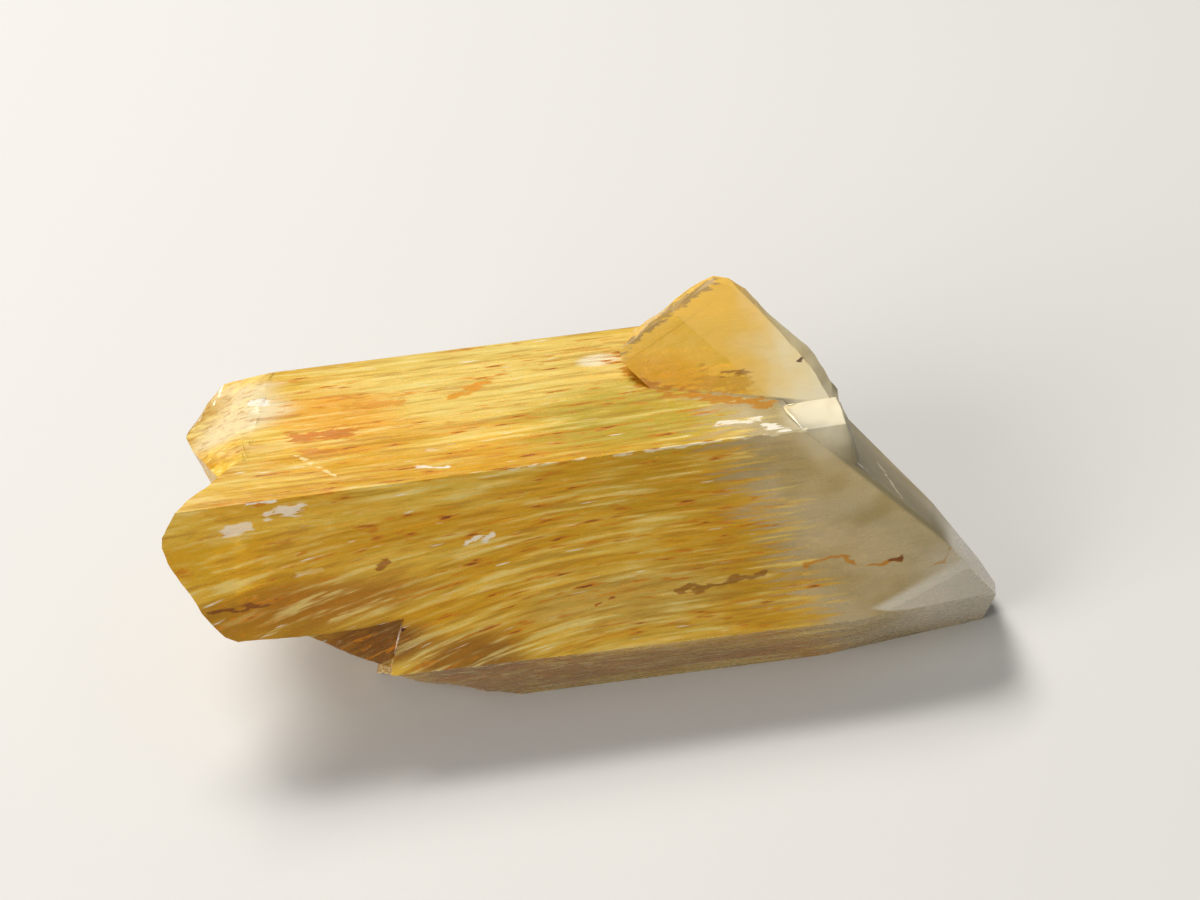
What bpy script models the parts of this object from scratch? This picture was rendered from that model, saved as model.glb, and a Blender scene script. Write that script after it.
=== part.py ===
"""Mango quartz crystal, lying on one face of its six-sided prism.

The long axis of the prism runs along X. The pointed end is at +X and the broken root end at -X.
The crystal, the small crystal grown onto its top and the lobes of its root are one solid.
Lengths are in millimetres up to the last step, which turns the mesh into metres.
"""

import math

import bmesh
import bpy
from mathutils import Matrix, Vector, noise

# Driving dimensions of the prism, in millimetres
MILLIMETRE = 0.001
HEIGHT = 12.5             # from the face it lies on to the face on top
TOP_FRONT = -4.0          # y of the front edge of the top face
TOP_BACK = 4.9            # y of the back edge of the top face
BOTTOM_FRONT = -5.6       # y of the front edge of the bottom face
BOTTOM_BACK = 5.2         # y of the back edge of the bottom face
FACE_SLOPE = 60           # degrees between neighbouring prism faces
TAPER = -0.02             # how much the lower front face turns towards the root, as natural faces do

# Joints between the pieces, in millimetres
BLANK = 60.0              # edge of the block that each convex piece is cut from
BEYOND = 1.0              # how far a root piece reaches past the prism before it is trimmed
ROOT_INNER = -2.0         # x to which the root pieces reach inside the prism
RECESS = 0.35             # how far the root body is set back from the front face
FLAKE_PROUD = 0.10        # how far the corner flake stands out of the front face

# Roughness of the broken surfaces, in millimetres
GRAIN = 0.85              # longest edge left on a broken surface
SPLIT_ROUNDS = 4          # how often its edges are halved to reach that
CHIP_DEPTH = 0.22         # height of the broad waves on a broken surface
CHIP_SIZE = 2.6           # length of those waves
SPLINTER_DEPTH = 0.09     # height of the fine splinters
SPLINTER_SIZE = 0.75      # their width across the crystal's long axis
SPLINTER_STRETCH = 3.0    # how much longer they are along it

# Limits within which two things count as the same
SAME_PLANE = 0.004        # a corner this near a growth plane, in millimetres, belongs to it
SAME_DIRECTION = 0.9995   # two directions with a cosine above this are the same
LEAST_TURN = 0.05         # a second plane must lean this much from the first to hold a corner too
SLIVER = 0.002            # scraps thinner than this, in millimetres, are closed up
FLAT_JOINT = 0.05         # degrees under which two faces are one flat face

CRYSTAL_COLOUR = (0.62, 0.40, 0.12, 1.0)
CRYSTAL_ROUGHNESS = 0.18


def clear_scene():
    """Remove the objects that the file starts with."""
    for thing in list(bpy.data.objects):
        bpy.data.objects.remove(thing, do_unlink=True)


def side_normal(angle):
    """Outward normal of a prism face, from its tilt above the horizontal as seen along X."""
    return Vector((0, -math.cos(math.radians(angle)), math.sin(math.radians(angle))))


def prism_planes():
    """The six faces of the prism, as a point and an outward normal each."""
    half = FACE_SLOPE / 2
    return [
        (Vector((0, 0, 0)), side_normal(-90)),
        (Vector((0, BOTTOM_FRONT, 0)), side_normal(-half) + Vector((TAPER, 0, 0))),
        (Vector((0, TOP_FRONT, HEIGHT)), side_normal(half)),
        (Vector((0, 0, HEIGHT)), side_normal(90)),
        (Vector((0, TOP_BACK, HEIGHT)), side_normal(180 - half)),
        (Vector((0, BOTTOM_BACK, 0)), side_normal(180 + half)),
    ]


def tip_planes():
    """The flat faces of the pointed end, each through a point that it keeps."""
    return [
        # the great sloping face, seen almost edge-on from the front
        (Vector((13.3, -5.5, 9.9)), Vector((0.69, 0.20, 0.70))),
        # its steeper lower part, near the point
        (Vector((16.2, -7.1, 7.2)), Vector((0.79, 0.10, 0.60))),
        # the bright three-cornered face low on the front, and the dull one under it
        (Vector((13.6, -8.35, 4.9)), Vector((0.16, -0.98, 0.07))),
        (Vector((11.5, -5.80, 0.0)), Vector((0.09, -0.85, -0.51))),
        # the blunt end and the small face below it
        (Vector((18.85, -7.1, 3.3)), Vector((0.93, -0.30, 0.15))),
        (Vector((18.75, -6.8, 2.3)), Vector((0.90, -0.36, -0.12))),
        # the far faces, which round off the great sloping face behind
        (Vector((14.77, 4.36, 5.64)), Vector((0.77, 0.41, 0.49))),
        (Vector((17.0, -1.10, 5.00)), Vector((0.85, 0.31, 0.42))),
        (Vector((18.9, -6.20, 4.00)), Vector((0.90, 0.12, 0.38))),
        (Vector((15.6, 2.90, 1.60)), Vector((0.60, 0.70, -0.38))),
        (Vector((18.4, -3.00, 0.00)), Vector((0.72, 0.30, -0.62))),
    ]


def small_crystal_planes():
    """The two flat faces of the small crystal: the one that faces forward and the one behind it."""
    return [
        (Vector((4.32, 0.09, HEIGHT)), Vector((-0.260, -0.720, 0.643))),
        (Vector((7.41, 2.55, 16.55)), Vector((-0.50, 0.34, 0.80))),
    ]


def on_front(x, down, sunk=0.0):
    """A point on the main front face: along X, down from its top edge, and sunk into the crystal."""
    lean = math.radians(FACE_SLOPE / 2)
    down_face = Vector((0, -math.sin(lean), -math.cos(lean)))
    return Vector((x, TOP_FRONT, HEIGHT)) + down_face * down - side_normal(FACE_SLOPE / 2) * sunk


def block():
    """A block round the origin, large enough to cut the crystal from."""
    solid = bmesh.new()
    bmesh.ops.create_cube(solid, size=BLANK)
    return solid


def hull(points):
    """The convex solid that just holds the given corners."""
    solid = bmesh.new()
    corners = [solid.verts.new(point) for point in points]
    made = bmesh.ops.convex_hull(solid, input=corners)
    unused = made["geom_interior"] + made["geom_unused"]
    loose = {item for item in unused if isinstance(item, bmesh.types.BMVert)}
    bmesh.ops.delete(solid, geom=list(loose), context="VERTS")
    return solid


def cut_flat(solid, planes):
    """Cut a convex solid flat on each plane, and close each cut with one face."""
    for point, direction in planes:
        parts = solid.verts[:] + solid.edges[:] + solid.faces[:]
        cut = bmesh.ops.bisect_plane(solid, geom=parts, plane_co=point, plane_no=direction, clear_outer=True)
        rim = [item for item in cut["geom_cut"] if isinstance(item, bmesh.types.BMEdge)]
        if rim:
            bmesh.ops.contextual_create(solid, geom=rim)
    return solid


def as_object(solid, name):
    """Put a bmesh into a new object of the scene."""
    bmesh.ops.recalc_face_normals(solid, faces=solid.faces[:])
    mesh = bpy.data.meshes.new(name)
    solid.to_mesh(mesh)
    solid.free()
    made = bpy.data.objects.new(name, mesh)
    bpy.context.scene.collection.objects.link(made)
    return made


def main_prism():
    """The pointed end and the long middle, broken off where the root begins."""
    breaks = [
        (Vector((-9.7, -8.3, 5.0)), Vector((-0.93, 0.22, 0.25))),
        (Vector((-3.2, BOTTOM_FRONT, 0)), Vector((-0.285, -0.657, -0.70))),
    ]
    return as_object(cut_flat(block(), tip_planes() + breaks), "main_prism")


def prism_envelope():
    """The six-sided prism, longer than the crystal, that trims every piece of it."""
    return as_object(cut_flat(block(), prism_planes()), "prism_envelope")


def front_lobe():
    """The lower, longer lobe of the root, which overhangs a recess."""
    rim = [(-18.1, 0.0), (-18.8, 0.6), (-19.1, 1.2), (-19.3, 1.9), (-19.1, 2.5), (-18.7, 3.3),
           (-17.6, 5.4), (-16.9, 6.3), (-16.1, 6.75), (-13.3, 6.4), (-10.0, 5.6), (-5.5, 5.5)]
    outer = [on_front(x, down, -BEYOND) for x, down in rim]
    inner = [Vector(corner) for corner in (
        (-17.2, -3.2, 13.4), (-16.1, -2.4, 13.4), (-14.6, -1.0, 13.4), (-17.9, -3.0, 11.0),
        (-17.2, -3.4, 9.0), (-16.0, -4.6, 7.4), (-15.5, -1.4, 9.0), (ROOT_INNER, -1.0, 13.4),
        (ROOT_INNER, -4.0, 13.4), (ROOT_INNER, -1.0, 7.0), (ROOT_INNER, -5.5, 6.9))]
    return as_object(hull(outer + inner), "front_lobe")


def back_lobe():
    """The upper lobe of the root, whose top slopes down from the prism's top face to its rounded end."""
    corners = [Vector(corner) for corner in (
        (-12.2, 5.2, 12.6), (-14.8, -1.8, 12.52), (-15.4, -3.0, 12.3), (-14.6, 5.7, 11.9),
        (-15.9, 4.6, 11.4), (-16.6, 3.6, 11.3), (-17.2, 2.6, 11.3), (-16.9, 1.2, 11.5), (-16.1, 0.1, 11.75),
        (-15.5, -1.4, 12.1), (-16.5, 2.4, 9.6), (-15.8, 0.2, 9.8), (-15.2, 6.6, 9.4), (-14.2, 9.0, 6.0),
        (-14.8, -3.4, 8.4), (ROOT_INNER, -3.5, 12.9), (ROOT_INNER, 7.0, 12.9), (ROOT_INNER, 10.0, 3.5),
        (ROOT_INNER, -3.0, 7.0))]
    return as_object(hull(corners), "back_lobe")


def root_body():
    """The body of the root under both lobes, set back from the front face as a recess."""
    edge = [(-13.35, 6.1), (-12.1, 6.75), (-10.7, 7.5), (-9.6, 8.3), (ROOT_INNER, 8.3), (-13.3, 5.0),
            (ROOT_INNER, 4.5)]
    corners = [on_front(x, down, RECESS) for x, down in edge]
    corners += [Vector(corner) for corner in (
        (-11.6, 1.6, -1.0), (-8.4, -2.2, -1.0), (ROOT_INNER, -3.5, -1.0), (-11.2, 7.0, -1.0),
        (ROOT_INNER, 7.0, -1.0), (-14.6, 0.5, 8.0), (-13.9, 8.5, 7.0), (-12.8, 9.6, 3.4),
        (ROOT_INNER, 10.0, 6.0), (-13.8, -2.5, 10.0), (ROOT_INNER, -2.0, 11.0))]
    return as_object(hull(corners), "root_body")


def small_crystal():
    """The small crystal grown on the top face, with a flat front and a broken right side."""
    corners = [Vector(corner) for corner in (
        # the outline of its flat front, which meets the top face in a straight line
        (2.64, 1.79, 13.72), (2.77, 1.29, 13.22), (3.50, 0.80, 12.95), (4.32, -0.18, 12.20),
        (7.41, 2.45, 16.39), (8.29, 2.02, 16.26), (9.28, 1.00, 15.53), (10.27, -0.29, 14.47),
        (11.13, -1.51, 13.46), (11.99, -2.95, 12.20),
        # its top and its broken right side
        (3.70, 2.86, 13.83), (7.32, 2.96, 16.38), (8.10, 2.76, 16.43), (8.85, 2.46, 15.83),
        (9.40, 1.86, 15.23), (10.10, 1.16, 14.36), (11.45, -0.04, 13.40), (12.30, -1.34, 12.33),
        (12.15, -2.00, 12.10),
        # its back and its foot inside the large crystal
        (7.60, 4.70, 14.20), (5.40, 5.20, 12.70), (9.60, 4.40, 12.40), (4.50, 0.20, 12.00),
        (12.00, -2.70, 12.00), (5.00, 5.00, 11.60), (10.60, 3.60, 11.00), (11.60, -1.00, 11.40))]
    return as_object(cut_flat(hull(corners), small_crystal_planes()), "small_crystal")


def corner_flake():
    """The thin broken tongue that runs from the small crystal down over the corner of the front face."""
    edge = [(9.9, 0.0), (11.1, 1.0), (12.1, 1.95), (11.9, 0.0)]
    corners = [on_front(x, down, -FLAKE_PROUD) for x, down in edge]
    corners += [on_front(12.4, 1.9)]
    corners += [Vector(corner) for corner in (
        (12.05, -3.3, 12.3), (12.15, -2.4, 12.4), (12.45, -4.6, 10.9), (9.4, -2.4, 12.7), (11.9, -2.4, 12.8),
        (9.6, -2.2, 11.4), (11.6, -3.2, 10.6))]
    return as_object(hull(corners), "corner_flake")


def join_all(base, steps):
    """Join or trim the base with each other solid in turn, and take the result as one mesh."""
    for operation, other in steps:
        step = base.modifiers.new(other.name, "BOOLEAN")
        step.operation = operation
        step.solver = "EXACT"
        step.object = other
    bpy.context.view_layer.update()
    graph = bpy.context.evaluated_depsgraph_get()
    joined = bpy.data.meshes.new_from_object(base.evaluated_get(graph))
    for spare in [base] + [other for _, other in steps]:
        bpy.data.objects.remove(spare, do_unlink=True)
    return joined


def planes_through(point, planes):
    """The outward directions of the growth planes that a corner lies on."""
    return [normal.normalized() for place, normal in planes
            if abs((point - place).dot(normal.normalized())) < SAME_PLANE]


def is_growth_face(face, planes):
    """Whether a face lies on one of the crystal's flat growth planes."""
    centre = face.calc_center_median()
    return any(abs(face.normal.dot(direction)) > SAME_DIRECTION
               for direction in planes_through(centre, planes))


def broken_faces(solid, planes):
    """The faces that lie on none of the growth planes."""
    return [face for face in solid.faces if not is_growth_face(face, planes)]


def refine(solid, planes):
    """Split the long edges of the broken faces until they can carry the roughness."""
    bmesh.ops.triangulate(solid, faces=broken_faces(solid, planes))
    for _ in range(SPLIT_ROUNDS):
        edges = {edge for face in broken_faces(solid, planes) for edge in face.edges}
        too_long = [edge for edge in edges if edge.calc_length() > GRAIN]
        bmesh.ops.subdivide_edges(solid, edges=too_long, cuts=1)
        bmesh.ops.triangulate(solid, faces=broken_faces(solid, planes))


def roughness_at(point):
    """Height of the broken surface at a point: broad shell-like waves and fine splinters along X."""
    waves = noise.noise(point / CHIP_SIZE)
    stretched = Vector((point.x / SPLINTER_STRETCH, point.y, point.z)) / SPLINTER_SIZE
    splinters = noise.noise(stretched)
    return CHIP_DEPTH * waves + SPLINTER_DEPTH * splinters


def within_planes(move, directions):
    """The part of a move that stays within every plane with one of the given directions."""
    held = []
    for direction in directions:
        across = direction.copy()
        for earlier in held:
            across -= earlier * across.dot(earlier)
        if across.length > LEAST_TURN:
            across.normalize()
            held.append(across)
            move = move - across * move.dot(across)
    return move


def roughen(solid, planes):
    """Move the broken surface in and out. A corner on a growth plane slides only within that plane."""
    broken = set(broken_faces(solid, planes))
    moves = {}
    for vert in solid.verts:
        near = [face for face in vert.link_faces if face in broken]
        if near:
            outward = sum((face.normal * face.calc_area() for face in near), Vector()).normalized()
            moves[vert] = within_planes(outward * roughness_at(vert.co), planes_through(vert.co, planes))
    for vert, move in moves.items():
        vert.co += move


def crystal_material():
    """Golden stone with polished growth faces."""
    material = bpy.data.materials.new("mango_quartz")
    material.use_nodes = True
    shader = material.node_tree.nodes["Principled BSDF"]
    shader.inputs["Base Color"].default_value = CRYSTAL_COLOUR
    shader.inputs["Roughness"].default_value = CRYSTAL_ROUGHNESS
    shader.inputs["Metallic"].default_value = 0.0
    return material


def build():
    """Make the crystal and stand it over its own middle, on the face it lies on."""
    clear_scene()
    mesh = join_all(main_prism(), [
        ("UNION", front_lobe()), ("UNION", back_lobe()), ("UNION", root_body()),
        ("INTERSECT", prism_envelope()),
        ("UNION", small_crystal()), ("UNION", corner_flake())])
    planes = prism_planes() + tip_planes() + small_crystal_planes()
    solid = bmesh.new()
    solid.from_mesh(mesh)
    bmesh.ops.remove_doubles(solid, verts=solid.verts[:], dist=SLIVER)
    bmesh.ops.dissolve_degenerate(solid, dist=SLIVER, edges=solid.edges[:])
    bmesh.ops.dissolve_limit(
        solid, angle_limit=math.radians(FLAT_JOINT), verts=solid.verts[:], edges=solid.edges[:])
    refine(solid, planes)
    roughen(solid, planes)
    solid.to_mesh(mesh)
    solid.free()
    low = Vector([min(vert.co[axis] for vert in mesh.vertices) for axis in range(3)])
    high = Vector([max(vert.co[axis] for vert in mesh.vertices) for axis in range(3)])
    middle = Vector(((low.x + high.x) / 2, (low.y + high.y) / 2, low.z))
    mesh.transform(Matrix.Scale(MILLIMETRE, 4) @ Matrix.Translation(-middle))
    mesh.name = "quartz_crystal"
    mesh.materials.clear()
    mesh.materials.append(crystal_material())
    crystal = bpy.data.objects.new("quartz_crystal", mesh)
    bpy.context.scene.collection.objects.link(crystal)
    print("box in mm:", [round(v, 2) for v in low], [round(v, 2) for v in high], "faces:", len(mesh.polygons))


build()
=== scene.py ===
# %% [markdown]
# # A mango quartz crystal
#
# Mango quartz is clear quartz that grew round a cloud of fine yellow and orange fibres. The stone itself
# has almost no colour: the gold is all inside it. The point of this crystal grew after the fibres
# stopped, so it is clear with a milky haze. This lesson dresses the plain solid in that order: the
# clear outer stone, then the fibres inside, then the light.

# %% Load the solid as a fixed frame
import math
import random

import bmesh
import bpy
from mathutils import Matrix, Vector
from mathutils.bvhtree import BVHTree


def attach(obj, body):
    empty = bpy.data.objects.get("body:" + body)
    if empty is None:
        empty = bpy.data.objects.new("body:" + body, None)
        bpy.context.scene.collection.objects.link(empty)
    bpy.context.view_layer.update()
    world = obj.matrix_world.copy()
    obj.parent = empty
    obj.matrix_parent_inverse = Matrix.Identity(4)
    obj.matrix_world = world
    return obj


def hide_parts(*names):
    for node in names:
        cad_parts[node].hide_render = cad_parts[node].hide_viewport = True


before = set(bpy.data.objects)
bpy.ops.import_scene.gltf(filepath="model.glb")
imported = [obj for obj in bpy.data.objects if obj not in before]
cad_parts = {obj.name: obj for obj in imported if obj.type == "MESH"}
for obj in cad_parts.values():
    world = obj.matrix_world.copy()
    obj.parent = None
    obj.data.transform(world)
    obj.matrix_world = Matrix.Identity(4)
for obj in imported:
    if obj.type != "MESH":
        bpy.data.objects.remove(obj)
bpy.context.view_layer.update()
MM = 0.001
SEED = 7                         # the fibres fall the same way on each run
random.seed(SEED)

# %% [markdown]
# ## Where things are on the crystal
#
# The crystal lies along X with its point at +X. Its broad front face leans back by 30 degrees, from
# a front edge low down to the edge of the top face. Two helpers turn "so far along, so far down the
# front face, so deep inside" into a place in space, because that is how one reads a crystal by eye.
# All these places are in millimetres.

# %% Places on the front and top faces
TOP_HEIGHT = 12.5                # height of the top face
TOP_FRONT_EDGE = -4.06           # y of the edge between the top face and the front face
LEAN = math.radians(30)          # how far the front face leans back
DOWN_FACE = Vector((0, -math.sin(LEAN), -math.cos(LEAN)))
INTO_FACE = Vector((0, math.cos(LEAN), -math.sin(LEAN)))


def on_front(along, down, deep=0.0):
    """A place in millimetres, from how far along, down the front face and inside it."""
    return Vector((along, TOP_FRONT_EDGE, TOP_HEIGHT)) + DOWN_FACE * down + INTO_FACE * deep


def on_top(along, across, deep=0.0):
    """A place in millimetres, from how far along and across the top face and below it."""
    return Vector((along, across, TOP_HEIGHT - deep))


print("middle of the front face:", [round(v, 2) for v in on_front(0, 4)])

# %% [markdown]
# ## Picking faces and edges in code
#
# With no mouse, faces and edges are picked by a test on their place or direction. These helpers clear
# the selection first, since an operator acts on everything that is selected.


# %% Helpers for selecting and finishing
def only(piece):
    """Make one object the active and only selected one."""
    bpy.ops.object.select_all(action="DESELECT")
    piece.select_set(True)
    bpy.context.view_layer.objects.active = piece


def edit(piece, kind="EDGE"):
    """Enter edit mode on one object with nothing selected."""
    only(piece)
    bpy.ops.object.mode_set(mode="EDIT")
    bpy.ops.mesh.select_mode(type=kind)
    bpy.ops.mesh.select_all(action="DESELECT")


def pick(piece, test, kind="EDGE"):
    """Select the edges or faces that pass a test, and return how many there are."""
    mesh = bmesh.from_edit_mesh(piece.data)
    items = mesh.edges if kind == "EDGE" else mesh.faces
    chosen = [item for item in items if test(item)]
    for item in chosen:
        item.select_set(True)
    mesh.select_flush_mode()
    bmesh.update_edit_mesh(piece.data)
    return len(chosen)


def leave_edit():
    """Go back to object mode."""
    bpy.ops.object.mode_set(mode="OBJECT")


def finish_piece(piece, material):
    """Give a piece its material and hang it on the frame."""
    piece.data.materials.clear()
    piece.data.materials.append(material)
    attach(piece, "root")
    print(piece.name, "has", len(piece.data.polygons), "faces")


# %% [markdown]
# ## The clear outer stone
#
# Growth faces of quartz are flat and glossy, and they meet in edges that look sharp but are worn
# round by a hair. The broken root is rough and shell-like. The solid has the right faces, so the stone
# starts as a copy of it. Its loose triangles are merged, and flat regions are dissolved back into whole
# faces. The edges between two large faces are bevelled, and so is the step where the front face meets
# the recess in the root. The broken faces get one more subdivision and a fine displacement.

# %% Copy the solid and merge its triangles
FLAT_AREA = 1.2 * MM * MM        # a face at least this big is a growth face
WELD = 0.001 * MM                # corners closer than this become one
FLAT_ANGLE = math.radians(0.6)   # faces that meet at less than this are one flat face

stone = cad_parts["quartz_crystal"].copy()
stone.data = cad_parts["quartz_crystal"].data.copy()
stone.name = "clear_stone"
stone.parent = None
for key in list(stone.keys()):
    del stone[key]
bpy.context.scene.collection.objects.link(stone)
edit(stone, "VERT")
bpy.ops.mesh.select_all(action="SELECT")
bpy.ops.mesh.remove_doubles(threshold=WELD)
bpy.ops.mesh.customdata_custom_splitnormals_clear()
bpy.ops.mesh.dissolve_limited(angle_limit=FLAT_ANGLE)
leave_edit()
print("the merged stone has", len(stone.data.polygons), "faces")

# %% Bevel the edges between growth faces
EDGE_WEAR = 0.10 * MM            # width of the worn edge between growth faces
EDGE_ANGLE = math.radians(8)     # faces that meet at more than this have an edge between them

edit(stone, "EDGE")
worn = pick(stone, lambda edge: len(edge.link_faces) == 2
            and min(face.calc_area() for face in edge.link_faces) > FLAT_AREA
            and edge.calc_face_angle(0) > EDGE_ANGLE)
bpy.ops.mesh.bevel(offset=EDGE_WEAR, segments=2, profile=0.5, clamp_overlap=True)
leave_edit()
print("worn edges:", worn)

# %% Round the step at the recess
STEP_WEAR = 0.30 * MM            # the front face runs softly into the recess of the root
STEP_ANGLE = math.radians(35)    # the step is steeper than this
STEP_BOX = ((-10.4, -8.4), (-9.0, -6.0), (1.5, 8.5))     # where it is along X, Y and Z


def on_step(vert):
    """Whether a corner lies where the step is."""
    return all(low * MM < value < high * MM for value, (low, high) in zip(vert.co, STEP_BOX))


edit(stone, "EDGE")
stepped = pick(stone, lambda edge: len(edge.link_faces) == 2 and edge.calc_face_angle(0) > STEP_ANGLE
               and all(on_step(vert) for vert in edge.verts))
bpy.ops.mesh.bevel(offset=STEP_WEAR, segments=3, profile=0.5, clamp_overlap=True)
leave_edit()
print("edges of the step:", stepped)

# %% Roughen the broken faces
BROKEN_WAVE = 0.45 * MM          # size of the fine lumps on a broken face
BROKEN_DEPTH = 0.07 * MM         # their height
SPECK_AREA = 0.02 * MM * MM      # faces smaller than this are left alone
INWARDS = 0.75                   # above a half, so that most of each lump goes into the solid
SMOOTH_ANGLE = math.radians(22)  # flatter edges than this are shaded smooth

edit(stone, "FACE")
rough = pick(stone, lambda face: SPECK_AREA < face.calc_area() < FLAT_AREA / 2, "FACE")
bpy.ops.mesh.subdivide(number_cuts=1, smoothness=0.0)
leave_edit()
group = stone.vertex_groups.new(name="broken")
group.add([vert.index for vert in stone.data.vertices if vert.select], 1.0, "REPLACE")
lumps = bpy.data.textures.new("broken_lumps", "CLOUDS")
lumps.noise_scale = BROKEN_WAVE
lumps.noise_depth = 2
roughen = stone.modifiers.new("broken surface", "DISPLACE")
roughen.texture = lumps
roughen.texture_coords = "LOCAL"
roughen.strength = BROKEN_DEPTH
roughen.mid_level = INWARDS
roughen.vertex_group = "broken"
only(stone)
bpy.ops.object.modifier_apply(modifier=roughen.name)
bpy.ops.object.shade_smooth_by_angle(angle=SMOOTH_ANGLE)
print("broken faces:", rough)


# %% [markdown]
# ## A small kit for wiring nodes
#
# The finishes are built from nodes. A short class that adds a node and joins it keeps each finish as
# readable as a formula. Colours are given as they look on a screen, from 0 to 255, and turned into the
# light values that a shader wants.

# %% The wiring kit
SCREEN_CURVE = 2.2               # how a screen value turns into light
NOISE_MIDDLE = 0.5               # noise swings about this value


def shade(red, green, blue):
    """A shader colour from screen values between 0 and 255."""
    return tuple((value / 255) ** SCREEN_CURVE for value in (red, green, blue)) + (1.0,)


class Wiring:
    """Adds nodes to one tree and joins them."""

    def __init__(self, tree):
        self.tree = tree

    def node(self, kind, **values):
        """Add a node and set its properties."""
        made = self.tree.nodes.new(kind)
        for name, value in values.items():
            setattr(made, name, value)
        return made

    def join(self, source, target):
        """Join an output to an input, or set the input to a plain value."""
        if isinstance(source, bpy.types.NodeSocket):
            self.tree.links.new(source, target)
        else:
            target.default_value = source

    def math(self, operation, *inputs, clamp=False):
        """One math node on the given inputs."""
        made = self.node("ShaderNodeMath", operation=operation, use_clamp=clamp)
        for value, socket in zip(inputs, made.inputs):
            self.join(value, socket)
        return made.outputs[0]

    def vector(self, operation, *inputs):
        """One vector node on the given inputs. A dot product or a length comes out as a number."""
        made = self.node("ShaderNodeVectorMath", operation=operation)
        for value, socket in zip(inputs, made.inputs):
            self.join(value, socket)
        return made.outputs["Value" if operation in ("DOT_PRODUCT", "LENGTH") else "Vector"]

    def noise(self, place, stretch, detail=3.0, roughness=0.55):
        """Noise from 0 to 1. The stretch says how many lumps there are per millimetre along each axis."""
        stretched = self.vector("MULTIPLY", place, stretch)
        made = self.node("ShaderNodeTexNoise")
        self.join(stretched, made.inputs["Vector"])
        made.inputs["Scale"].default_value = 1.0
        made.inputs["Detail"].default_value = detail
        made.inputs["Roughness"].default_value = roughness
        return made.outputs["Fac"]

    def combine(self, x, y, z):
        """A vector from three numbers."""
        made = self.node("ShaderNodeCombineXYZ")
        for value, socket in zip((x, y, z), made.inputs):
            self.join(value, socket)
        return made.outputs[0]

    def fade(self, value, low, high):
        """A smooth step from 0 at low to 1 at high."""
        made = self.node("ShaderNodeMapRange", interpolation_type="SMOOTHSTEP")
        self.join(value, made.inputs["Value"])
        self.join(low, made.inputs["From Min"])
        self.join(high, made.inputs["From Max"])
        return made.outputs["Result"]

    def weaken(self, value, strength):
        """The value times a strength."""
        return self.math("MULTIPLY", value, strength)

    def swing(self, noise, size):
        """Turn noise into a number that swings about 0."""
        return self.math("MULTIPLY", self.math("SUBTRACT", noise, NOISE_MIDDLE), size)

    def blend(self, amount, first, second):
        """Mix two colours."""
        made = self.node("ShaderNodeMix", data_type="RGBA")
        self.join(amount, made.inputs["Factor"])
        self.join(first, made.inputs["A"])
        self.join(second, made.inputs["B"])
        return made.outputs["Result"]

    def group(self, tree, **inputs):
        """Add a node group. An underscore in an input's name stands for a space."""
        made = self.node("ShaderNodeGroup", node_tree=tree)
        for name, value in inputs.items():
            self.join(value, made.inputs[name.replace("_", " ")])
        return made.outputs


def new_group(name, inputs, outputs):
    """An empty node group with named sockets, its wiring, and its input and output nodes."""
    tree = bpy.data.node_groups.new(name, "ShaderNodeTree")
    for label, kind, value in inputs:
        socket = tree.interface.new_socket(name=label, in_out="INPUT", socket_type=kind)
        if value is not None:
            socket.default_value = value
    for label, kind in outputs:
        tree.interface.new_socket(name=label, in_out="OUTPUT", socket_type=kind)
    return tree, Wiring(tree), tree.nodes.new("NodeGroupInput"), tree.nodes.new("NodeGroupOutput")


# %% [markdown]
# ## Streaks that follow the fibres
#
# The fibres lie side by side along the crystal, and on the front they spread downwards like a fan towards
# the root. Noise that is stretched along X gives such streaks. Before it is read, a place near the root
# is drawn back up the front face, so the streaks there spread like the fibres. Four sizes are enough:
# broad bundles, fine streaks, dark dashes and the finest, which place painted glints, white highlights
# drawn into the colour. Two more groups say where something is: a soft cloud round a place, and a thin
# line between two places.


# %% The node groups
FAN_START = 2.0                  # the fibres run straight beyond this place along the crystal
FAN = 0.0025                     # how fast they spread on the root side of it
STREAK_SIZES = {
    # lumps per millimetre along and across the fibres, detail, roughness of the noise
    "Bundles": (0.12, 0.9, 2.0, 0.55),
    "Streaks": (0.26, 4.4, 3.0, 0.66),
    "Dashes": (0.62, 5.6, 2.0, 0.55),
    # the finest streaks place the painted glints, white highlights in the colour
    "Painted glints": (0.50, 8.0, 2.0, 0.5),
}
CLOUD_CORE = 0.45                # a cloud is at its full within this part of its size
LINE_CORE = 0.5                  # and a line within this part of its width


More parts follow.
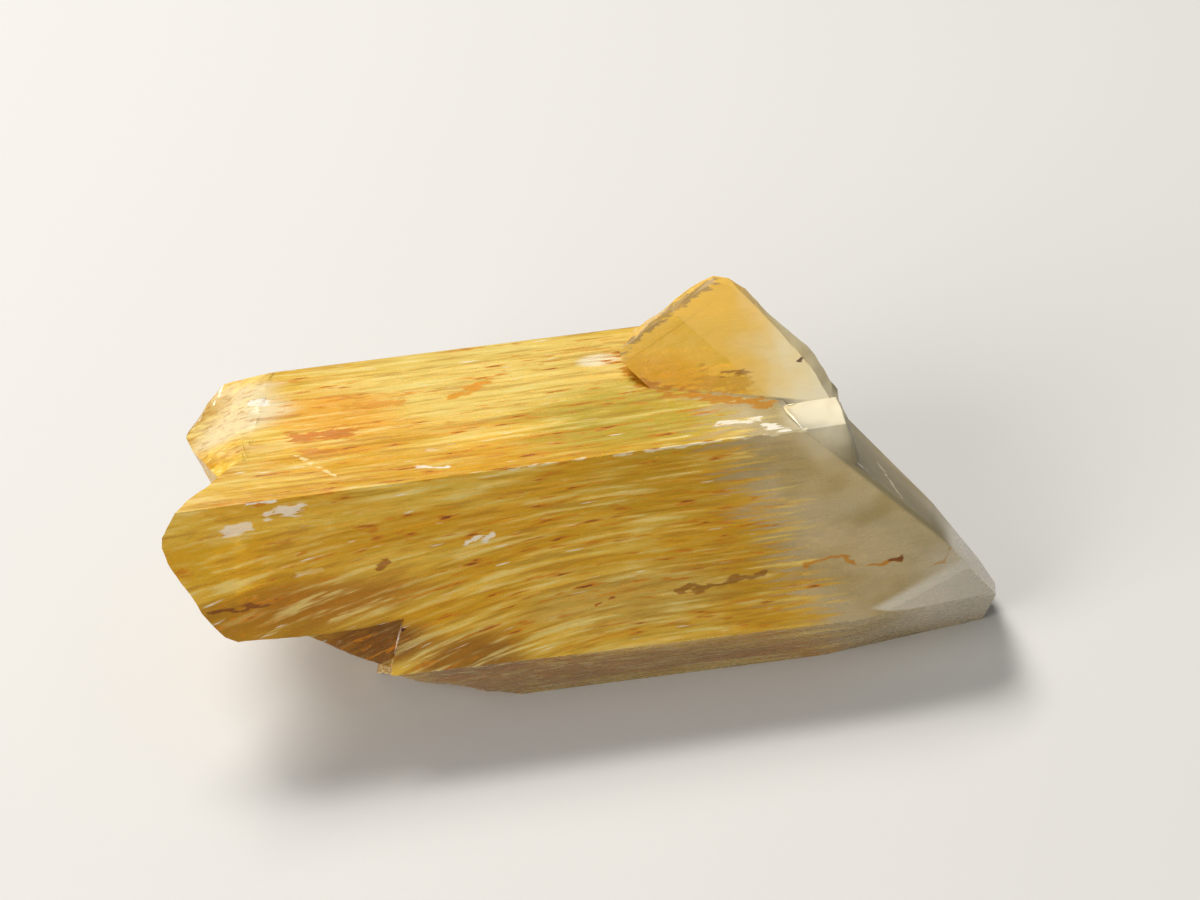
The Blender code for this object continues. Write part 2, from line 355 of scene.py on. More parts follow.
def make_streak_group():
    """Four sizes of streak along the crystal, from an object-space place in metres."""
    tree, w, given, out = new_group(
        "Fibre streaks", [("Place", "NodeSocketVector", None), ("Fan", "NodeSocketFloat", FAN)],
        [("Bundles", "NodeSocketFloat"), ("Streaks", "NodeSocketFloat"), ("Dashes", "NodeSocketFloat"),
         ("Painted glints", "NodeSocketFloat"), ("Millimetres", "NodeSocketVector")])
    place = w.vector("MULTIPLY", given.outputs["Place"], (1 / MM, 1 / MM, 1 / MM))
    split = w.node("ShaderNodeSeparateXYZ")
    w.join(place, split.inputs[0])
    behind = w.math("MAXIMUM", w.math("SUBTRACT", FAN_START, split.outputs[0]), 0.0)
    spread = w.math("ADD", 1.0, w.math("MULTIPLY", w.math("MULTIPLY", behind, behind), given.outputs["Fan"]))
    from_edge = w.vector("SUBTRACT", place, on_front(0, 0))
    down = w.vector("DOT_PRODUCT", from_edge, DOWN_FACE)
    drawn_back = w.math("DIVIDE", w.math("MAXIMUM", down, 0.0), spread)
    drawn_back = w.math("ADD", w.math("MINIMUM", down, 0.0), drawn_back)
    lines = w.combine(split.outputs[0], drawn_back, w.vector("DOT_PRODUCT", from_edge, INTO_FACE))
    for label, (along, across, detail, roughness) in STREAK_SIZES.items():
        w.join(w.noise(lines, (along, across, across), detail, roughness), out.inputs[label])
    w.join(place, out.inputs["Millimetres"])
    return tree


def make_cloud_group():
    """A soft cloud round a place: 1 inside, 0 outside, with a ragged rim."""
    tree, w, given, out = new_group(
        "Cloud",
        [("Millimetres", "NodeSocketVector", None), ("Centre", "NodeSocketVector", None),
         ("Size", "NodeSocketVector", None), ("Ragged", "NodeSocketFloat", 0.0),
         ("Grain", "NodeSocketFloat", NOISE_MIDDLE)],
        [("Mask", "NodeSocketFloat")])
    away = w.vector("SUBTRACT", given.outputs["Millimetres"], given.outputs["Centre"])
    far = w.vector("LENGTH", w.vector("DIVIDE", away, given.outputs["Size"]))
    shaken = w.swing(given.outputs["Grain"], given.outputs["Ragged"])
    w.join(w.fade(w.math("ADD", far, shaken), 1.0, CLOUD_CORE), out.inputs["Mask"])
    return tree


def make_line_group():
    """A thin line between two places: 1 on it, and 0 beyond its ragged sides."""
    tree, w, given, out = new_group(
        "Line",
        [("Millimetres", "NodeSocketVector", None), ("Start", "NodeSocketVector", None),
         ("End", "NodeSocketVector", None), ("Width", "NodeSocketFloat", 0.1),
         ("Rag", "NodeSocketFloat", 1.0)],
        [("Mask", "NodeSocketFloat")])
    start = given.outputs["Start"]
    whole = w.vector("SUBTRACT", given.outputs["End"], start)
    away = w.vector("SUBTRACT", given.outputs["Millimetres"], start)
    part = w.math("DIVIDE", w.vector("DOT_PRODUCT", away, whole),
                  w.vector("DOT_PRODUCT", whole, whole), clamp=True)
    foot = w.node("ShaderNodeVectorMath", operation="SCALE")
    w.join(whole, foot.inputs[0])
    w.join(part, foot.inputs["Scale"])
    far = w.vector("LENGTH", w.vector("SUBTRACT", away, foot.outputs[0]))
    edge = w.math("MULTIPLY", given.outputs["Rag"], given.outputs["Width"])
    w.join(w.fade(far, edge, w.weaken(edge, LINE_CORE)), out.inputs["Mask"])
    return tree


STREAKS = make_streak_group()
CLOUD = make_cloud_group()
LINE = make_line_group()
print("node groups:", STREAKS.name, CLOUD.name, LINE.name)

# %% [markdown]
# ## The finish of the clear stone
#
# Quartz bends light by an index of 1.544, and a thick piece takes out a little blue. Both are plain
# values on the shader. Half of the light goes through. The haze and the fibres just below the surface
# send back the rest, and that returned light carries the colour. The body is gold. Where fibres gather
# it turns orange or amber, the broken upper lobe is pale, and the point has no fibres at all. Single
# marks that the eye finds at once, such as the thin vein in the clear part, are lines between places.
# Some light and shade is painted into the colour too: glints and a highlight along the top edge, a
# highlight on a small face by the point, shade on the big face of the point and in the recess of the
# root, and a shadow under the small crystal.

# %% Where colours gather in the stone
OCHRE, STRAW, STRAW_LIGHT = shade(222, 166, 14), shade(236, 192, 66), shade(250, 230, 140)
BROWN_GOLD, ORANGE, BROWN = shade(172, 118, 0), shade(214, 136, 0), shade(140, 76, 0)
# white of the painted glints: highlights drawn into the colour
PAINTED_GLINT = shade(255, 248, 226)
CLOUD_STRENGTH = 0.85
CLOUDS = [
    # centre, size, how ragged the rim is, colour
    (on_front(-16.5, 2.6), (3.0, 3.0, 3.0), 1.0, shade(226, 174, 20)),
    (on_front(-15.6, 5.8), (6.0, 2.4, 2.4), 0.8, shade(176, 126, 0)),
    (on_front(-12.0, 4.8, 0.5), (5.6, 1.5, 1.5), 0.8, shade(178, 116, 0)),
    # painted shade in the recess under the overhanging lobe of the root
    (on_front(-11.0, 7.2, 0.5), (4.4, 1.5, 1.5), 0.5, shade(114, 62, 0)),
    (on_front(-6.4, 8.6, 0.4), (3.8, 2.0, 2.0), 0.6, shade(138, 86, 0)),
    (on_front(3.0, 1.8), (4.4, 2.2, 2.2), 1.6, shade(208, 158, 0)),
    (on_front(6.5, 6.0), (5.0, 2.0, 2.0), 1.4, shade(208, 156, 6)),
    (on_front(1.0, 6.6), (6.0, 1.8, 1.8), 1.0, shade(214, 176, 74)),
    (Vector((0.0, -8.0, 2.2)), (17.0, 3.4, 3.0), 0.9, shade(172, 118, 0)),
    (on_top(-3.0, 2.6), (12.0, 4.0, 1.2), 1.0, shade(240, 212, 108)),
    (on_top(-11.0, 0.8), (4.2, 2.6, 1.4), 1.4, shade(236, 168, 30)),
    (on_top(3.5, -1.4), (8.0, 3.2, 1.0), 0.8, shade(186, 166, 50)),
    (on_top(-15.2, 2.6, 1.0), (3.0, 3.6, 3.0), 0.9, shade(240, 226, 180)),
    (on_top(-18.2, 4.0, 2.4), (4.0, 3.2, 4.0), 0.6, shade(190, 146, 14)),
    (on_top(1.5, 2.7), (1.2, 0.55, 0.4), 0.6, shade(252, 242, 205)),
]
VEIN = ((9.0, 6.24), (9.95, 6.09), (10.75, 5.95), (11.4, 6.5), (12.5, 6.55), (13.5, 6.6))
# a painted highlight: a bright line along the edge between the top and the front face
PAINTED_EDGE_HIGHLIGHT = ([on_front(-4.0, 0.0), on_front(9.6, 0.0)], 0.11, shade(250, 238, 196), 0.8)
SIDE_MARKS = [
    # places joined by the mark, its width, colour, strength
    ([on_front(along, down) for along, down in VEIN], 0.11, shade(196, 130, 30), 0.9),
    ([on_front(14.6, 6.9), on_front(15.5, 7.0), on_front(15.8, 6.4)], 0.06, shade(190, 140, 60), 0.7),
    ([on_front(13.0, 6.55), on_front(13.5, 6.58)], 0.12, shade(120, 66, 6), 0.9),
    ([on_front(3.0, 6.6), on_front(4.6, 6.45), on_front(7.14, 6.25)], 0.16, shade(150, 96, 6), 0.8),
    ([on_front(-0.6, 6.6), on_front(0.1, 6.42)], 0.16, shade(176, 92, 14), 0.9),
    ([on_front(-10.1, 3.65), on_front(-9.7, 3.55)], 0.24, shade(160, 92, 10), 0.8),
    ([on_front(-9.46, 6.55), on_front(-9.38, 6.55)], 0.17, shade(70, 24, 0), 1.0),
    ([on_front(-17.8, 4.5), on_front(-16.4, 4.62), on_front(-15.0, 4.6)], 0.08, shade(130, 76, 0), 0.9),
    # painted glints: white highlights on the lower lobe and the front
    ([on_front(-15.4, 0.0), on_front(-14.3, 0.0)], 0.22, PAINTED_GLINT, 1.0),
    ([on_front(-14.6, 0.7), on_front(-13.2, 0.5)], 0.30, PAINTED_GLINT, 0.8),
    ([on_front(-16.4, 1.2), on_front(-15.4, 1.05)], 0.26, PAINTED_GLINT, 0.7),
    ([on_front(-6.1, 3.0), on_front(-4.9, 2.96)], 0.16, PAINTED_GLINT, 0.9),
    ([on_front(-13.6, 3.3), on_front(-12.6, 3.3)], 0.20, shade(240, 206, 120), 0.6),
    PAINTED_EDGE_HIGHLIGHT,
    # painted reflection: a bright line across the big face of the point, then a painted glint by the chip
    ([Vector((14.11, -1.37, 7.43)), Vector((13.97, -5.2, 8.66))], 0.14, shade(226, 214, 176), 0.9),
    ([Vector((12.0, -3.9, 10.4)), Vector((12.2, -4.3, 10.15))], 0.40, PAINTED_GLINT, 0.8),
]
TOP_MARKS = [
    PAINTED_EDGE_HIGHLIGHT,
    # painted glints: white highlights by the top edge and on the upper lobe
    ([on_top(5.8, -2.9), on_top(7.7, -2.95)], 0.22, PAINTED_GLINT, 0.9),
    ([on_top(7.9, -3.4), on_top(8.8, -3.9)], 0.34, PAINTED_GLINT, 1.0),
    ([on_top(-7.8, -3.24), on_top(-6.5, -3.33)], 0.16, PAINTED_GLINT, 0.9),
    ([on_top(-14.6, 2.9), on_top(-13.9, 2.7)], 0.40, PAINTED_GLINT, 0.9),
    ([on_top(-13.0, -1.2), on_top(-11.4, -3.0)], 0.12, shade(252, 232, 160), 0.8),
    ([on_top(-12.9, 0.0), on_top(-10.2, -0.1)], 0.45, shade(204, 122, 8), 0.9),
    ([on_top(-12.7, -1.0), on_top(-11.2, -1.2)], 0.34, shade(208, 132, 16), 0.8),
    ([on_top(-10.4, 1.7), on_top(-7.8, 1.5)], 0.40, shade(218, 150, 26), 0.8),
    ([on_top(-5.4, 1.5), on_top(-3.8, 2.2)], 0.36, shade(226, 152, 20), 0.9),
    # a painted shadow: the dark line under the overhanging foot of the small crystal
    ([on_top(2.7, 1.8), on_top(3.2, 0.5), on_top(4.2, -0.35), on_top(5.6, -0.85), on_top(8.4, -2.0)],
     0.42, shade(190, 126, 6), 0.9),
    ([Vector((5.9, -0.4, 12.95)), Vector((7.4, -1.0, 12.9))], 0.75, shade(196, 142, 30), 0.6),
    ([Vector((6.6, -0.35, 13.3)), Vector((7.7, -0.55, 13.3))], 0.20, shade(150, 104, 30), 0.8),
    ([Vector((10.06, -0.95, 13.94)), Vector((10.14, -0.95, 13.94))], 0.14, shade(96, 70, 40), 1.0),
    ([Vector((2.1, 1.9, 13.65)), Vector((6.7, 2.6, 16.4))], 0.50, shade(150, 122, 70), 0.8),
]


# %% The gold of the body
# the noise values at which each kind of streak begins and is at its full
STRAW_STEP, SILKY_STEP, GATHERED_STEP = (0.40, 0.62), (0.38, 0.58), (0.58, 0.46)
# the glint step and strength are for painted glints, white highlights in the colour
LIGHT_STEP, DARK_STEP, PAINTED_GLINT_STEP = (0.50, 0.64), (0.49, 0.36), (0.68, 0.76)
DASH_STEP, DARK_DASH_STEP = (0.56, 0.64), (0.65, 0.71)
SILKY_LEAST, SILKY_MORE = 0.18, 0.50         # strength of the light streaks, and more in silky bundles
DARK_STRENGTH, DASH_STRENGTH, PAINTED_GLINT_STRENGTH = 0.50, 0.9, 0.8
CALM_LOBE = (on_top(-16.4, 3.4, 1.6), (4.4, 5.0, 5.0))   # centre and size of the lobe that has no dashes


def cloud_at(w, place, spot):
    """A soft, even cloud from its centre and size."""
    centre, size = spot
    return w.group(CLOUD, Millimetres=place, Centre=centre, Size=size)["Mask"]


def body_colour(w, streaks):
    """The gold of the fibrous body, with its clouds, its light and dark streaks, its dashes and painted
    glints, white highlights drawn into the colour.
    """
    colour = w.blend(w.fade(streaks["Bundles"], *STRAW_STEP), OCHRE, STRAW)
    for centre, size, ragged, tint in CLOUDS:
        mask = w.group(CLOUD, Millimetres=streaks["Millimetres"], Centre=centre, Size=size, Ragged=ragged,
                       Grain=streaks["Bundles"])["Mask"]
        colour = w.blend(w.weaken(mask, CLOUD_STRENGTH), colour, tint)
    silky = w.math("ADD", SILKY_LEAST, w.weaken(w.fade(streaks["Bundles"], *SILKY_STEP), SILKY_MORE))
    colour = w.blend(w.weaken(w.fade(streaks["Streaks"], *LIGHT_STEP), silky), colour, STRAW_LIGHT)
    colour = w.blend(w.weaken(w.fade(streaks["Streaks"], *DARK_STEP), DARK_STRENGTH), colour, BROWN_GOLD)
    calm = cloud_at(w, streaks["Millimetres"], CALM_LOBE)
    gathered = w.math("SUBTRACT", w.fade(streaks["Bundles"], *GATHERED_STEP), calm, clamp=True)
    for step, tint in ((DASH_STEP, ORANGE), (DARK_DASH_STEP, BROWN)):
        dashes = w.weaken(w.fade(streaks["Dashes"], *step), gathered)
        colour = w.blend(w.weaken(dashes, DASH_STRENGTH), colour, tint)
    # last come painted glints, white highlights where the finest streaks peak
    return w.blend(w.weaken(w.fade(streaks["Painted glints"], *PAINTED_GLINT_STEP), PAINTED_GLINT_STRENGTH), colour, PAINTED_GLINT)


# %% Colours of the clear point, the small crystal and the chip
UNDER_FACE = 0.3                 # how deep the painted highlight and the painted shade of the point reach under their faces
FULL_LAYER = 0.4                 # they are at their full within this part of it
HAZE_DARK, HAZE_LIGHT, HAZE_TIP = shade(178, 158, 106), shade(200, 182, 138), shade(222, 214, 190)
HAZE_LUMPS, HAZE_STEP = (0.30, 0.5, 0.5), (0.35, 0.65)
TIP_SPOT = (Vector((18.0, -6.0, 4.0)), (6.0, 6.0, 5.0))
# painted highlight on a small face by the point, only above a sloping line
HIGHLIT_FACET = (Vector((13.12, -8.41, 4.9)), (0.16, -0.98, 0.07))      # a place on it and its direction
FACET_HIGHLIGHT, HIGHLIGHT_SLOPE, HIGHLIGHT_LINE = shade(226, 220, 200), 0.24, (7.80, 7.95)    # only above a sloping line
# painted shade on the big face of the point, growing stronger between these heights
SHADED_POINT_FACE = (Vector((12.82, -5.56, 9.9)), (0.69, 0.20, 0.70))
POINT_FACE_SHADE, POINT_SHADE_HEIGHTS = shade(140, 130, 96), (4.0, 8.0)
SMALL_FOOT = (12.52, 12.62)      # the small crystal begins at this height
SMALL_GOLD, SMALL_CREAM, SMALL_ORANGE = shade(232, 184, 56), shade(236, 222, 176), shade(222, 164, 16)
CREAM_LUMPS, CREAM_SWAY, CREAM_STEP = (0.5, 0.5, 0.5), 4.0, (9.0, 12.5)
SMALL_LOW_LEFT = (Vector((3.6, 0.2, 12.6)), (3.4, 2.4, 1.6))
CHIP = (Vector((10.9, -3.1, 11.9)), (2.6, 2.2, 2.8))
CHIP_CREAM, CHIP_STRENGTH = shade(232, 222, 190), 0.8


def near_face(w, place, face):
    """1 close under a flat face, and 0 deeper inside."""
    point, normal = face
    height = w.vector("DOT_PRODUCT", w.vector("SUBTRACT", place, point), Vector(normal).normalized())
    return w.fade(height, -UNDER_FACE, -UNDER_FACE * FULL_LAYER)


def clear_point_colour(w, place, along, height):
    """The haze of the clear point, with a painted highlight on a small face by it and painted shade on its
    big face, and where that shaded face is.
    """
    cloudy = w.fade(w.noise(place, HAZE_LUMPS, 2.0), *HAZE_STEP)
    haze = w.blend(cloudy, HAZE_DARK, HAZE_LIGHT)
    haze = w.blend(cloud_at(w, place, TIP_SPOT), haze, HAZE_TIP)
    highlit_facet = near_face(w, place, HIGHLIT_FACET)
    above_line = w.fade(w.math("ADD", height, w.math("MULTIPLY", along, HIGHLIGHT_SLOPE)), *HIGHLIGHT_LINE)
    haze = w.blend(w.weaken(highlit_facet, above_line), haze, FACET_HIGHLIGHT)
    shaded_face = near_face(w, place, SHADED_POINT_FACE)
    return w.blend(w.weaken(shaded_face, w.fade(height, *POINT_SHADE_HEIGHTS)), haze, POINT_FACE_SHADE), shaded_face


def small_crystal_colour(w, place, along):
    """Smooth orange-gold, deeper low on the left, and cream on the right side."""
    swayed = w.math("ADD", along, w.weaken(w.noise(place, CREAM_LUMPS, 2.0), CREAM_SWAY))
    small = w.blend(w.fade(swayed, *CREAM_STEP), SMALL_GOLD, SMALL_CREAM)
    return w.blend(cloud_at(w, place, SMALL_LOW_LEFT), small, SMALL_ORANGE)


# %% Single marks
SWAY_LUMPS, SWAY = (0.9, 1.7, 1.7), 0.5                  # how the marks sway, in millimetres
RAG_LUMPS, RAG_START, RAG_GAIN, RAG_LEAST = (1.3, 5.5, 5.5), 0.30, 4.0, 0.05     # how ragged they are


def add_marks(w, place, colour, marks):
    """Draw single marks over a colour. They sway a little, and their sides are ragged."""
    shake = w.swing(w.noise(place, SWAY_LUMPS, 1.0), SWAY)
    swayed = w.vector("ADD", place, w.combine(0.0, shake, shake))
    rag = w.math("MULTIPLY", w.math("SUBTRACT", w.noise(place, RAG_LUMPS, 2.0), RAG_START), RAG_GAIN)
    rag = w.math("MAXIMUM", rag, RAG_LEAST)
    for places, width, tint, strength in marks:
        strongest = 0.0
        for start, end in zip(places, places[1:]):
            mask = w.group(LINE, Millimetres=swayed, Start=start, End=end, Width=width, Rag=rag)["Mask"]
            strongest = w.math("MAXIMUM", strongest, mask)
        colour = w.blend(w.weaken(strongest, strength), colour, tint)
    return colour


# %% The stone's material
GOLD_SLOPE, GOLD_RAG, GOLD_END = 0.45, 12.0, (10.5, 13.0)    # the gold reaches further low on the front
GRAIN_LUMPS = (0.9, 2.6, 2.6)
POLISH, GRAIN_ROUGHNESS, FROST_ROUGHNESS = 0.16, 0.22, 0.35  # roughness, and what grain and frost add
BUMP_HEIGHT, BUMP_STRENGTH, BUMP_DEPTH = 1.2, 0.35, 0.05 * MM
QUARTZ_IOR = 1.544
LET_THROUGH = 0.5                # half of the light goes through
ABSORB_COLOUR, ABSORB_DENSITY = (0.92, 0.78, 0.30, 1), 110.0


def make_stone_material(name, marks):
    """Clear quartz with gold inside, a hazy clear point and a cream and orange small crystal."""
    material = bpy.data.materials.new(name)
    material.use_nodes = True
    w = Wiring(material.node_tree)
    shader = material.node_tree.nodes["Principled BSDF"]
    output = material.node_tree.nodes["Material Output"]
    streaks = w.group(STREAKS, Place=w.node("ShaderNodeTexCoord").outputs["Object"])
    place = streaks["Millimetres"]
    split = w.node("ShaderNodeSeparateXYZ")
    w.join(place, split.inputs[0])
    along, height = split.outputs["X"], split.outputs["Z"]
    # the gold ends raggedly, because its needles reach different distances
    reach = w.math("ADD", along, w.math("MULTIPLY", height, GOLD_SLOPE))
    clear = w.fade(w.math("SUBTRACT", reach, w.swing(streaks["Streaks"], GOLD_RAG)), *GOLD_END)
    haze, shaded_face = clear_point_colour(w, place, along, height)
    colour = w.blend(clear, body_colour(w, streaks), haze)
    above = w.fade(height, *SMALL_FOOT)
    small = small_crystal_colour(w, place, along)
    # the chip on the corner is frosty, and so is the big face of the point, which also has painted shade
    frosty = cloud_at(w, place, CHIP)
    colour = w.blend(w.weaken(frosty, CHIP_STRENGTH), w.blend(above, colour, small), CHIP_CREAM)
    w.join(add_marks(w, place, colour, marks), shader.inputs["Base Color"])
    grain = w.noise(place, GRAIN_LUMPS, 2.0)
    polish = w.math("ADD", POLISH, w.weaken(grain, GRAIN_ROUGHNESS))
    frost = w.weaken(w.math("MAXIMUM", frosty, shaded_face), FROST_ROUGHNESS)
    w.join(w.math("ADD", polish, frost), shader.inputs["Roughness"])
    bump_height = w.math("MULTIPLY", grain, BUMP_HEIGHT)
    bump = w.node("ShaderNodeBump")
    bump.inputs["Strength"].default_value = BUMP_STRENGTH
    bump.inputs["Distance"].default_value = BUMP_DEPTH
    w.join(bump_height, bump.inputs["Height"])
    w.join(bump.outputs[0], shader.inputs["Normal"])
    shader.inputs["IOR"].default_value = QUARTZ_IOR
    shader.inputs["Transmission Weight"].default_value = LET_THROUGH
    absorb = w.node("ShaderNodeVolumeAbsorption")
    absorb.inputs["Color"].default_value = ABSORB_COLOUR
    absorb.inputs["Density"].default_value = ABSORB_DENSITY
    w.join(absorb.outputs[0], output.inputs["Volume"])
    return material


# one shader holds only so many nodes, so the marks are shared out between the sides and the top
JUST_BELOW_TOP = TOP_HEIGHT - 0.1
finish_piece(stone, make_stone_material("mango_quartz_sides", SIDE_MARKS))
stone.data.materials.append(make_stone_material("mango_quartz_top", TOP_MARKS))
for face in stone.data.polygons:
    face.material_index = int(face.center.z > JUST_BELOW_TOP * MM)
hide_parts("quartz_crystal")

# %% [markdown]
# ## The fibres
#
# A fibre is a hair of iron-stained mineral, a few millimetres long, at most a third of a millimetre
# thick and pointed at both ends. One is modelled from a cylinder, pulled to a point at each end. The
# bundles are arrays of it: each copy has its own place, length, thickness and direction, and a bundle is
# one mesh. A copy stays only where it lies wholly inside the stone. Near the root it sweeps outwards.

# %% Model one fibre
FIBRE_SIDES = 5
POINTED = 0.12                   # thickness of the ends against the middle
LENGTHWAYS = 1.5                 # only the edges that run along the fibre are longer than this in X
END_FACING = 0.9                 # only the end faces look this much along X

bpy.ops.object.select_all(action="DESELECT")
bpy.ops.mesh.primitive_cylinder_add(vertices=FIBRE_SIDES, radius=1.0, depth=2.0, end_fill_type="TRIFAN",
                                    rotation=(0, math.radians(90), 0))
fibre = bpy.context.active_object
fibre.name = "one_fibre"
bpy.ops.object.transform_apply(location=True, rotation=True, scale=True)
edit(fibre, "EDGE")
pick(fibre, lambda edge: abs(edge.verts[0].co.x - edge.verts[1].co.x) > LENGTHWAYS)
bpy.ops.mesh.subdivide(number_cuts=1)
bpy.ops.mesh.select_all(action="DESELECT")
pick(fibre, lambda face: abs(face.normal.x) > END_FACING, "FACE")
bpy.ops.transform.resize(value=(1.0, POINTED, POINTED), center_override=(0, 0, 0))
leave_edit()
FIBRE_SHAPE = [vert.co.copy() for vert in fibre.data.vertices]
FIBRE_FACES = [list(face.vertices) for face in fibre.data.polygons]
bpy.data.objects.remove(fibre, do_unlink=True)
print("one fibre has", len(FIBRE_FACES), "faces")


# %% Lay fibres inside the stone
TREE = BVHTree.FromObject(stone, bpy.context.evaluated_depsgraph_get())
NUDGE = Vector((0, 0, 1e-7))     # past a face that a ray has hit, in metres
TRIES = 12                       # places tried for each fibre
CHECKED = (-1, -0.5, 0.5, 1)     # parts of the half length where a fibre has to be inside
NEARER = 0.6                     # there it may come nearer to the surface by this factor


def depth_at(place):
    """How far a place, in millimetres, lies inside the stone. It is negative outside."""
    _, _, _, far = TREE.find_nearest(place * MM)
    start, crossings = place * MM, 0
    while True:
        hit = TREE.ray_cast(start, Vector((0, 0, 1)))[0]
        if hit is None:
            return (far if crossings % 2 else -far) / MM
        crossings += 1
        start = hit + NUDGE


def fibre_direction(place):
    """Direction of the fibres: along the crystal, and spread like a fan near the root."""
    behind = max(0.0, FAN_START - place.x)
    rate = -2 * FAN * behind / (1 + FAN * behind * behind)
    down = max(0.0, (place - on_front(0, 0)).dot(DOWN_FACE))
    return (Vector((1, 0, 0)) + DOWN_FACE * down * rate).normalized()


def lay_bundle(name, count, region, length, thickness, depths, jitter, material):
    """Lay many fibres in a region, between two depths, as one mesh."""
    shallow, deep = depths
    corners, faces = [], []
    laid = 0
    for _ in range(count * TRIES):
        if laid == count:
            break
        middle = Vector([random.uniform(low, high) for low, high in region])
        if not shallow < depth_at(middle) < deep:
            continue
        shake = Vector([random.gauss(0, jitter) for _ in range(3)])
        forward = (fibre_direction(middle) + shake).normalized()
        half = random.uniform(*length) / 2
        if min(depth_at(middle + forward * half * part) for part in CHECKED) < shallow * NEARER:
            continue
        radius = random.uniform(*thickness) / 2
        across = forward.orthogonal().normalized()
        turn = Matrix((forward * half, across * radius, forward.cross(across) * radius)).transposed()
        first = len(corners)
        corners += [(middle + turn @ corner) * MM for corner in FIBRE_SHAPE]
        faces += [[first + index for index in face] for face in FIBRE_FACES]
        laid += 1
    mesh = bpy.data.meshes.new(name)
    mesh.from_pydata(corners, [], faces)
    piece = bpy.data.objects.new(name, mesh)
    bpy.context.scene.collection.objects.link(piece)
    only(piece)
    bpy.ops.object.shade_smooth()
    finish_piece(piece, material)
    print(name, "holds", laid, "fibres")


# %% Fibre materials and the four bundles
FIBRE_STEP = (0.35, 0.65)        # the noise values between which one colour turns into the other
ROUGH_LEAST, ROUGH_MORE = 0.35, 0.3


def make_fibre_material(name, colour, other):
    """A silky fibre, a little lighter and darker along its bundle."""
    material = bpy.data.materials.new(name)
    material.use_nodes = True
    w = Wiring(material.node_tree)
    shader = material.node_tree.nodes["Principled BSDF"]
    streaks = w.group(STREAKS, Place=w.node("ShaderNodeTexCoord").outputs["Object"])
    w.join(w.blend(w.fade(streaks["Streaks"], *FIBRE_STEP), colour, other), shader.inputs["Base Color"])
    rough = w.math("ADD", ROUGH_LEAST, w.weaken(streaks["Streaks"], ROUGH_MORE))
    w.join(rough, shader.inputs["Roughness"])
    return material


# regions as ranges along X, Y and Z, in millimetres, like the lengths, thicknesses and depths below
ALL_ROUND = ((-17.5, 7.5), (-8.0, 8.2), (0.5, 12.2))
ROOT_HALF = ((-16, -2), (-7.5, 6), (3, 12.2))
FRONT = ((-8, 9.5), (-8.3, -4.0), (1, 12.0))
lay_bundle("gold_fibres", 2600, ALL_ROUND, (2.5, 6.5), thickness=(0.14, 0.34),
           depths=(0.35, 5.5), jitter=0.03,
           material=make_fibre_material("gold_fibre", shade(236, 170, 30), shade(214, 130, 10)))
lay_bundle("pale_fibres", 700, ALL_ROUND, (1.5, 5.0), thickness=(0.06, 0.14),
           depths=(0.15, 1.6), jitter=0.05,
           material=make_fibre_material("pale_fibre", shade(250, 232, 170), shade(240, 200, 110)))
lay_bundle("orange_fibres", 500, ROOT_HALF, (1.5, 4.0), thickness=(0.08, 0.20),
           depths=(0.15, 1.4), jitter=0.04,
           material=make_fibre_material("orange_fibre", shade(226, 120, 0), shade(190, 84, 0)))
lay_bundle("brown_needles", 300, FRONT, (0.5, 2.2), thickness=(0.05, 0.13),
           depths=(0.10, 1.0), jitter=0.05,
           material=make_fibre_material("brown_needle", shade(160, 76, 0), shade(110, 44, 0)))

# %% [markdown]
# ## The floor, the light and the camera
#
# The crystal lies on a plain pale floor. A soft lamp hangs over it, a little to the left and behind,
# because the top face is its brightest. A second one far to the left fills the front, from a place that
# the front face doesn't mirror to the camera. The camera looks down by 40 degrees, from 12 degrees round
# to the left, with the long lens of a close-up.

# %% Floor
FLOOR_SIZE = 3.0                 # metres
PALE_GREY, PAPER_ROUGHNESS = (0.43, 0.42, 0.405, 1), 0.9

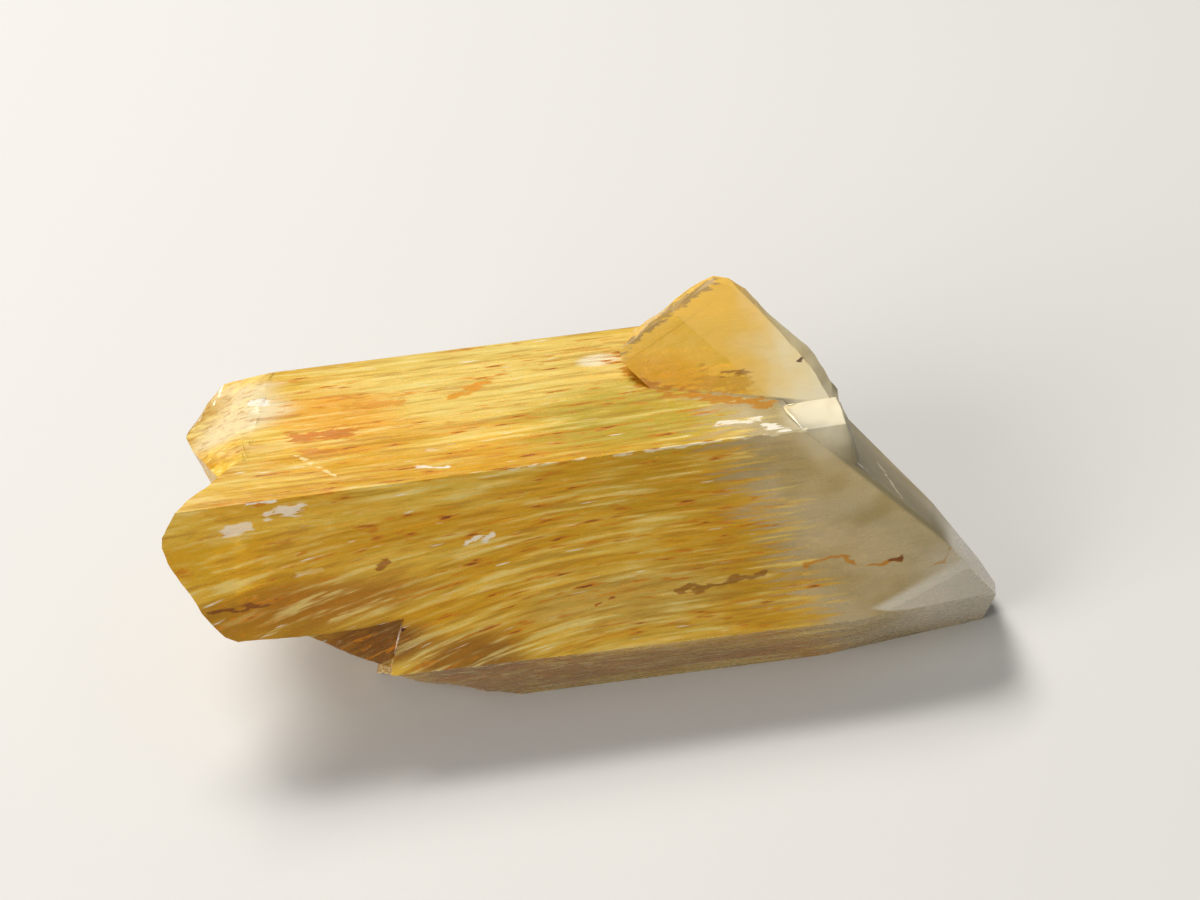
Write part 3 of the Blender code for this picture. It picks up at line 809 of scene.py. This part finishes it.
bpy.ops.object.select_all(action="DESELECT")
bpy.ops.mesh.primitive_plane_add(size=FLOOR_SIZE, location=(0, 0, 0))
floor = bpy.context.active_object
floor.name = "floor"
edit(floor, "FACE")
bpy.ops.mesh.select_all(action="SELECT")
bpy.ops.mesh.subdivide(number_cuts=3)
leave_edit()
paper = bpy.data.materials.new("pale_paper")
paper.use_nodes = True
paper.node_tree.nodes["Principled BSDF"].inputs["Base Color"].default_value = PALE_GREY
paper.node_tree.nodes["Principled BSDF"].inputs["Roughness"].default_value = PAPER_ROUGHNESS
floor.data.materials.append(paper)

# %% Lamps and sky
STONE_MIDDLE = Vector((0, 0, 0.006))
WARM_WHITE = (1.0, 0.98, 0.94)
SKY_COLOUR, SKY_STRENGTH = (0.95, 0.97, 1.0, 1), 0.30


def soft_lamp(name, place, size, watts):
    """A square, warm white lamp that faces the stone."""
    lamp = bpy.data.lights.new(name, "AREA")
    lamp.size = size
    lamp.energy = watts
    lamp.color = WARM_WHITE
    holder = bpy.data.objects.new(name, lamp)
    holder.location = place
    holder.rotation_euler = (STONE_MIDDLE - Vector(place)).to_track_quat("-Z", "Y").to_euler()
    bpy.context.scene.collection.objects.link(holder)


soft_lamp("overhead", (-0.08, 0.14, 0.30), size=0.14, watts=1.62)
soft_lamp("left fill", (-0.32, -0.20, 0.22), size=0.24, watts=1.90)
sky = bpy.data.worlds.new("soft_sky")
sky.use_nodes = True
sky.node_tree.nodes["Background"].inputs["Color"].default_value = SKY_COLOUR
sky.node_tree.nodes["Background"].inputs["Strength"].default_value = SKY_STRENGTH
bpy.context.scene.world = sky
# the deep gold keeps its strength on screen with the plain view transform
bpy.context.scene.view_settings.view_transform = "Standard"

# %% Camera
AZIMUTH, ELEVATION = math.radians(-11.7), math.radians(40)
AIM = Vector((3.32, 10.95, 0.0)) * MM        # the spot of the floor at the middle of the picture
DISTANCE = 145.0 * MM

back = Vector((math.sin(AZIMUTH) * math.cos(ELEVATION), -math.cos(AZIMUTH) * math.cos(ELEVATION),
               math.sin(ELEVATION)))
lens = bpy.data.cameras.new("close_up")
lens.lens = 85.0
lens.sensor_width = 36.0
lens.clip_start = 0.01
camera = bpy.data.objects.new("close_up", lens)
camera.location = AIM + back * DISTANCE
camera.rotation_euler = (-back).to_track_quat("-Z", "Y").to_euler()
bpy.context.scene.collection.objects.link(camera)
bpy.context.scene.camera = camera
print("camera at", [round(v, 4) for v in camera.location])
